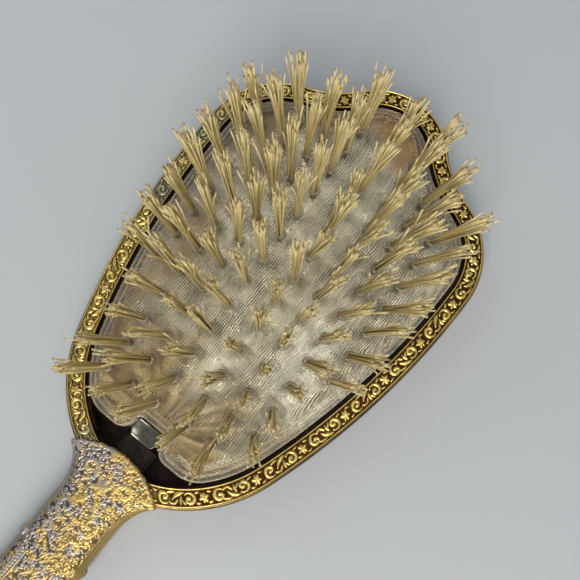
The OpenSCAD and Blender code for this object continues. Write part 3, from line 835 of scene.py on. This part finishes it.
block_inset, notch_half, notch_radius = 0.0064, 0.0043, 0.0014
block_y, notch_y = collar_y + 0.0088, collar_y + 0.014
block_lobe, mouth_radius = 0.009, 0.0034
crown_z = 0.0142
dome_across, dome_along = 0.15, 0.42
dome_y = (block_y + tip_y - block_inset) / 2
block_step = 0.0006


def dome_level(x, y):
    swell = dome_across - dome_along + np.sqrt(dome_along ** 2 - (y - dome_y) ** 2)
    return crown_z - dome_across + np.sqrt(swell ** 2 - x ** 2)


def block_ring(inset, step=block_step):
    """The block's outline with its notch, inset."""
    lobe_centre, turn = lobe_at(block_inset, block_y, block_lobe)
    mouth = (notch_half + mouth_radius, block_y + mouth_radius)
    parts = [[(0, notch_y + inset), ((notch_half - notch_radius) / 2, notch_y + inset)],
             arc((notch_half - notch_radius, notch_y - notch_radius), notch_radius + inset, 90, 0, 8),
             arc(mouth, mouth_radius - inset, 180, 270, 8),
             [((mouth[0] + lobe_centre[0]) / 2, block_y + inset)],
             arc(lobe_centre, block_lobe - inset, -90, turn, 14),
             half_outline(block_inset + inset, turn, step)[1:]]
    half = np.concatenate(parts)
    return np.concatenate([half, (half[::-1] * (-1, 1))[1:-1]])


def clear_block():
    """Points, faces and frost marks of the block; the rim is rows of inset, level and frost. The mark is high
    on the rim's step edges, where it paints their highlight lines in milky cream.
    """
    rim = ((0.3, 3.1, 0), (0.1, 3.16, 0), (0.0, 3.4, 0), (0.0, 6.4, 0), (0.0, 9.3, 0.3), (0.06, 9.5, 1),
           (0.25, 9.6, 0.9), (0.75, 9.6, 0.25), (1.2, 9.6, 0.25), (1.4, 9.65, 0.9), (1.5, 9.8, 1),
           (1.5, 9.98, 1), (1.58, 10.13, 1), (1.78, 10.2, 0.5), (2.3, 10.2, 0.2), (2.7, 10.2, 0.4),
           (2.9, 10.25, 1), (3.0, 10.4, 0.9))
    rings = [block_ring(e / 1000) for e, _, _ in rim]
    levels = [z / 1000 for _, z, _ in rim]
    frost_and_sheen = [f for _, _, f in rim] + [0.7, 0.3, 0.0]
    for e, drop in ((3.0, 0.22), (3.05, 0.08), (3.25, 0.0)):
        ring = block_ring(e / 1000)
        rings.append(ring)
        levels.append(np.maximum(dome_level(ring[:, 0], ring[:, 1]) - drop / 1000, 0.01045))
    around = len(rings[0])
    rim_points, rim_faces = stack(rings, levels), weave(len(rings), around)
    top_points, top_faces = filled(rings[-1], 0.0016, dome_level)
    start = (len(rings) - 1) * around
    top_faces = [[c + start for c in f] for f in top_faces]
    points = np.concatenate([rim_points, top_points[around:]])
    frost_and_sheen = np.concatenate([np.repeat(frost_and_sheen, around), np.zeros(len(points) - len(rim_points))])
    return points, rim_faces + top_faces + [list(range(around))[::-1]], frost_and_sheen


acrylic = material_of("clear_acrylic", Roughness=0.05, IOR=1.49, Transmission_Weight=0.94, Alpha=0.55)
haze = grain(acrylic, 0.012, 4, (1, 0.5, 1))
clear_tint = ramp(acrylic, haze, (0.3, (0.92, 0.85, 0.66)), (0.7, (0.98, 0.95, 0.84)))
drive(acrylic, Roughness=ramp(acrylic, grain(acrylic, 0.004, 4, (1, 0.3, 1)), (0.3, 0.02), (0.75, 0.08)))
drive(acrylic, Normal=dents(acrylic, grain(acrylic, 0.0009, 3, (1, 0.2, 1)), 0.00004))
# The frost mark turns the acrylic milky cream and less clear. It is frosting, and on the rim's step edges and
# the tuft collars it is also a painted highlight.
edge = marked(acrylic, "frost_and_sheen")
uneven = ramp(acrylic, grain(acrylic, 0.003, 3, (1, 0.3, 1)), (0.3, 0.4), (0.7, 1.0))
edge = sum_up(acrylic, "MULTIPLY", edge, uneven)
drive(acrylic, Base_Color=blend(acrylic, edge, clear_tint, (0.66, 0.52, 0.31)))
drive(acrylic, Transmission_Weight=ramp(acrylic, edge, (0.0, 0.95), (1.0, 0.45)),
      Alpha=ramp(acrylic, edge, (0.0, 0.55), (1.0, 0.9)))
points, faces, frost_and_sheen = clear_block()


# The collars: each hole's mouth is raised in the mould to a ring that grips the tuft.
hole_depth, collar_sides = 0.0032, 18
collar_ring = ((1.55, -0.35), (1.5, 0.05), (1.38, 0.3), (1.2, 0.46), (1.02, 0.48), (0.9, 0.38), (0.88, -0.35))


def islands(mesh):
    """The corners of each separate solid in a mesh."""
    places = np.array([corner.co[:] for corner in mesh.vertices])
    spots = (places * 1e6).round().astype(int)
    _, firsts, same = np.unique(spots, axis=0, return_index=True, return_inverse=True)
    first = firsts[same.ravel()]
    ends = first[np.array([edge.vertices[:] for edge in mesh.edges])]
    link = np.arange(len(places))
    while True:
        better = link.copy()
        for side in (0, 1):
            np.minimum.at(better, ends[:, side], link[ends].min(1))
        better = better[better]
        if (better == link).all():
            return [places[link[first] == root] for root in np.unique(link[first])]
        link = better


def tufts_of(row):
    """Where each tuft of a row leaves the block, its direction and its free length."""
    found = []
    for solid in islands(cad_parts[row].data):
        top = solid[solid[:, 2] > solid[:, 2].max() - 0.003].mean(0)
        foot = solid[solid[:, 2] < solid[:, 2].min() + 0.0015].mean(0)
        way = (top - foot) / np.linalg.norm(top - foot)
        base = foot + hole_depth * way
        found.append((base, way, np.linalg.norm(top - base)))
    return found


def frame_of(way):
    """Two directions square to this one."""
    side = np.cross((0, 1, 0), way)
    side /= np.linalg.norm(side)
    return side, np.cross(way, side)


def hoop(way, count):
    """Directions all round this one, square to it."""
    side, other = frame_of(way)
    turns = np.linspace(0, 2 * math.pi, count + 1)[:-1, None]
    return np.cos(turns) * side + np.sin(turns) * other


rows = sorted(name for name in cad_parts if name.startswith("tufts_row_"))
tufts = {row: tufts_of(row) for row in rows}
parts = [(points, faces)]
for row in rows:
    for base, way, _ in tufts[row]:
        spin = hoop(way, collar_sides)
        ring = np.concatenate([base + spin * r / 1000 + way * h / 1000 for r, h in collar_ring])
        parts.append((ring, weave(len(collar_ring), collar_sides, round_rows=True)))
points, faces = joined(*parts)
block = made_of("clear_block", points, faces, acrylic)
# The collars get half the frost mark, which paints them brighter: a painted highlight.
mark(block, "frost_and_sheen", np.concatenate([frost_and_sheen, np.full(len(points) - len(frost_and_sheen), 0.5)]))
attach(block, "block")
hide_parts("bristle_block")


# ------------
# The silvered sheet: thin card with crinkled foil, glued under the block so that it looks like
# silver. Damp has browned it at the heel and the tip, and its foil is scuffed lengthways. At the
# heel its folds are painted as dark creases and light ridges: painted shade and painted light.

sheet_low, sheet_top = 0.0027, 0.003
sheet_inset, sheet_step = 0.0002, 0.0015
pucker_reach = 0.0024
foil = material_of("silvered_sheet", Metallic=0.85)
where = node(foil, "TexCoord", {}).outputs["Object"]
place = node(foil, "SeparateXYZ", {"Vector": where})
blot = grain(foil, 0.016, 5)


def fade(value, none, whole):
    """How much of a stain shows: 0 where the value is none, 1 where it is whole."""
    limits = {"Value": value, "From Min": none, "From Max": whole}
    return node(foil, "MapRange", limits).outputs[0]


tone = ramp(foil, grain(foil, 0.006, 5, (1, 0.7, 1)), (0.34, (0.22, 0.2, 0.13)), (0.5, (0.45, 0.41, 0.29)),
            (0.66, (0.76, 0.72, 0.56)))
hatch = node(foil, "TexWave", {"Vector": where, "Scale": 500.0, "Distortion": 5.5, "Detail": 2.0,
                                           "Detail Scale": 0.6}, bands_direction="X").outputs["Fac"]
hatch = sum_up(foil, "MULTIPLY", hatch, 0.5)
patchy = sum_up(foil, "ADD", hatch, grain(foil, 0.0045, 4, (1, 0.5, 1)))
tone = blend(foil, ramp(foil, patchy, (0.7, 0.0), (0.86, 1.0)), tone, (0.97, 0.95, 0.86))
tone = blend(foil, ramp(foil, patchy, (0.42, 0.8), (0.62, 0.0)), tone, (0.15, 0.13, 0.09))
wander = sum_up(foil, "MULTIPLY", sum_up(foil, "SUBTRACT", blot, 0.5), 0.05)
to_tip = sum_up(foil, "ADD", place.outputs["Y"], wander)
tone = blend(foil, fade(to_tip, 0.043, 0.05), tone, (0.55, 0.34, 0.14))
# At the heel a fan of folds from the notch is painted in dark and light bands. This is brown staining, and also
# painted shade in the creases and painted light on the ridges.
from_notch = sum_up(foil, "SUBTRACT", place.outputs["Y"], notch_y)
turn = sum_up(foil, "ARCTAN2", place.outputs["X"], from_notch)
fan = node(foil, "CombineXYZ", {"X": sum_up(foil, "MULTIPLY", turn, 9.0),
                                          "Y": sum_up(foil, "MULTIPLY", from_notch, 60.0)}).outputs[0]
fold = node(foil, "TexNoise", {"Vector": fan, "Scale": 1.0, "Detail": 4.0}).outputs["Fac"]
fold_stain_and_shade = ramp(foil, fold, (0.36, (0.08, 0.045, 0.015)), (0.5, (0.36, 0.25, 0.1)), (0.64, (0.72, 0.6, 0.36)))
tone = blend(foil, fade(to_tip, -0.024, -0.041), tone, fold_stain_and_shade)
to_side = sum_up(foil, "ADD", place.outputs["X"], wander)
side_share = sum_up(foil, "MULTIPLY", fade(to_side, -0.016, -0.034), 0.85)
tone = blend(foil, side_share, tone, (0.33, 0.2, 0.07))
drive(foil, Base_Color=tone, Roughness=ramp(foil, grain(foil, 0.003, 4), (0.3, 0.22), (0.7, 0.42)))
pucker = dents(foil, marked(foil, "pucker"), 0.0009)
crinkle = dents(foil, grain(foil, 0.004, 3, (1, 0.6, 1)), 0.0007, pucker)
drive(foil, Normal=dents(foil, hatch, 0.00012, crinkle))


def sheet_level(x, y):
    """The foil's slight waves, under the block's flat back."""
    return sheet_top - 0.00006 * (1 + np.sin(x * 900) * np.sin(y * 700 + x * 300))


points, faces = thick_plate(block_ring(sheet_inset), sheet_step, sheet_level, sheet_low)
sheet = made_of("silvered_sheet", points, faces, foil)
feet = np.array([base[:2] for row in rows for base, _, _ in tufts[row]])
gaps = np.min(np.linalg.norm(points[:, None, :2] - feet[None], axis=2), axis=1)
mark(sheet, "pucker", np.exp(-(gaps / pucker_reach) ** 2))
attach(sheet, "block")
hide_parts("block_backing")


# ------------
# The anchors: a scrap of wire folded over the middle of each tuft and driven into its hole.

wire = finish("anchor_wire", ((0.001, 3), (0.3, (0.25, 0.24, 0.22)), (0.7, (0.5, 0.49, 0.46))),
              ((0.0005, 2), (0.3, 0.3), (0.7, 0.5)), Metallic=1.0)
finished("tuft_anchors", wire)


# ------------
# The tufts: each is some two dozen filaments of nylon, yellowed with age, folded and set in a
# hole. Every filament ends in a melted ball, and use has splayed and bent them.

filament_radius, ball_radius = 0.0002, 0.00028
filaments, root_radius = (22, 29), 0.00092
spread, straying = 0.0004, 0.00045
stations = np.array([-0.12, 0.0, 0.12, 0.28, 0.46, 0.64, 0.82, 0.97])
sides = 6
nylon = material_of("aged_nylon", Roughness=0.38, Transmission_Weight=0.08, IOR=1.53)
along = marked(nylon, "along")
shade = marked(nylon, "shade")
body = ramp(nylon, along, (0.0, (0.22, 0.12, 0.03)), (0.22, (0.62, 0.47, 0.17)), (0.9, (0.8, 0.67, 0.32)),
            (0.985, (0.24, 0.15, 0.06)))
pale = blend(nylon, shade, body, (0.86, 0.77, 0.44))
drive(nylon, Base_Color=blend(nylon, ramp(nylon, grain(nylon, 0.002, 3), (0.3, 0.0), (0.7, 0.35)), pale,
                              (0.56, 0.4, 0.15)))
drive(nylon, Normal=dents(nylon, grain(nylon, 0.0004, 2), 0.00001))


def ball(centre, radius):
    """A small ball of rings between two poles."""
    found = []
    turns = np.linspace(0, 2 * math.pi, sides + 1)[:-1]
    for level in np.linspace(-1, 1, sides):
        ring = polar((0, 0), np.sqrt(max(0.0004, 1 - level ** 2)), turns)
        found.append(np.column_stack([ring, np.full(sides, level)]) * radius)
    return centre + np.concatenate(found), closed(sides, sides)


def filament(random, base, way, length, loose):
    """Points, faces and place along it of one filament with its ball."""
    side, other = frame_of(way)
    turn, out = random.uniform(0, 2 * math.pi), math.sqrt(random.uniform(0, 1))
    spoke = math.cos(turn) * side + math.sin(turn) * other
    root = base + spoke * out * root_radius
    drift = random.normal(0, 1, 2)
    if random.uniform() < 0.12:
        drift = drift * 2.8
    stray = (side * drift[0] + other * drift[1]) * straying * loose
    reach = length * random.uniform(0.8, 0.99)
    t = stations[:, None]
    rise = np.clip(t, 0, None)
    line = root + way * reach * t + spoke * out * spread * loose * rise ** 1.3 + stray * rise ** 2
    ways = np.gradient(line, axis=0)
    ways /= np.linalg.norm(ways, axis=1)[:, None]
    rings = [spot + filament_radius * hoop(lead, sides) for spot, lead in zip(line, ways)]
    head_points, head_faces = ball(line[-1] + ways[-1] * ball_radius * 0.5, ball_radius)
    places = np.concatenate([np.repeat(np.clip(stations, 0, 0.95), sides), np.ones(len(head_points))])
    points, faces = joined((np.concatenate(rings), closed(len(line), sides)), (head_points, head_faces))
    return points, faces, places


side_limit = 0.0385
comb_way = np.array([0.784, 0.62, 0])
cross_way = np.array([-0.62, 0.784, 0])


def combed(base):
    """How far use has bent the tuft that stands here over to the right and the tip."""
    along_way, over_way = base @ comb_way, base @ cross_way
    right = max(0, along_way) * 3.4 - max(0, over_way) * 3.0
    return right * comb_way - max(0, along_way) * 4.2 * cross_way


random = np.random.default_rng(7)
for row in rows:
    parts, alongs, shades = [], [], []
    for base, way, length in tufts[row]:
        loose = random.uniform(0.7, 1.2) * (1 + 0.8 * min(1, max(0, (base @ cross_way + 0.01) / 0.04)))
        lean = frame_of(way)
        slant = way + random.normal(0, 0.035) * lean[0] + random.normal(0, 0.035) * lean[1] + combed(base)
        over = max(0, abs(base[0] + slant[0] * length) - side_limit) / length
        slant[0] -= math.copysign(over, slant[0])
        slant /= np.linalg.norm(slant)
        for _ in range(random.integers(*filaments)):
            points, faces, places = filament(random, base, slant, length, loose)
            parts.append((points, faces))
            alongs.append(places)
            shades.append(np.full(len(points), random.uniform(0, 0.7)))
    points, faces = joined(*parts)
    tuft_row = made_of(row.replace("tufts_row", "bristles"), points, faces, nylon)
    mark(tuft_row, "along", np.concatenate(alongs))
    mark(tuft_row, "shade", np.concatenate(shades))
    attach(tuft_row, "block")
    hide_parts(row)
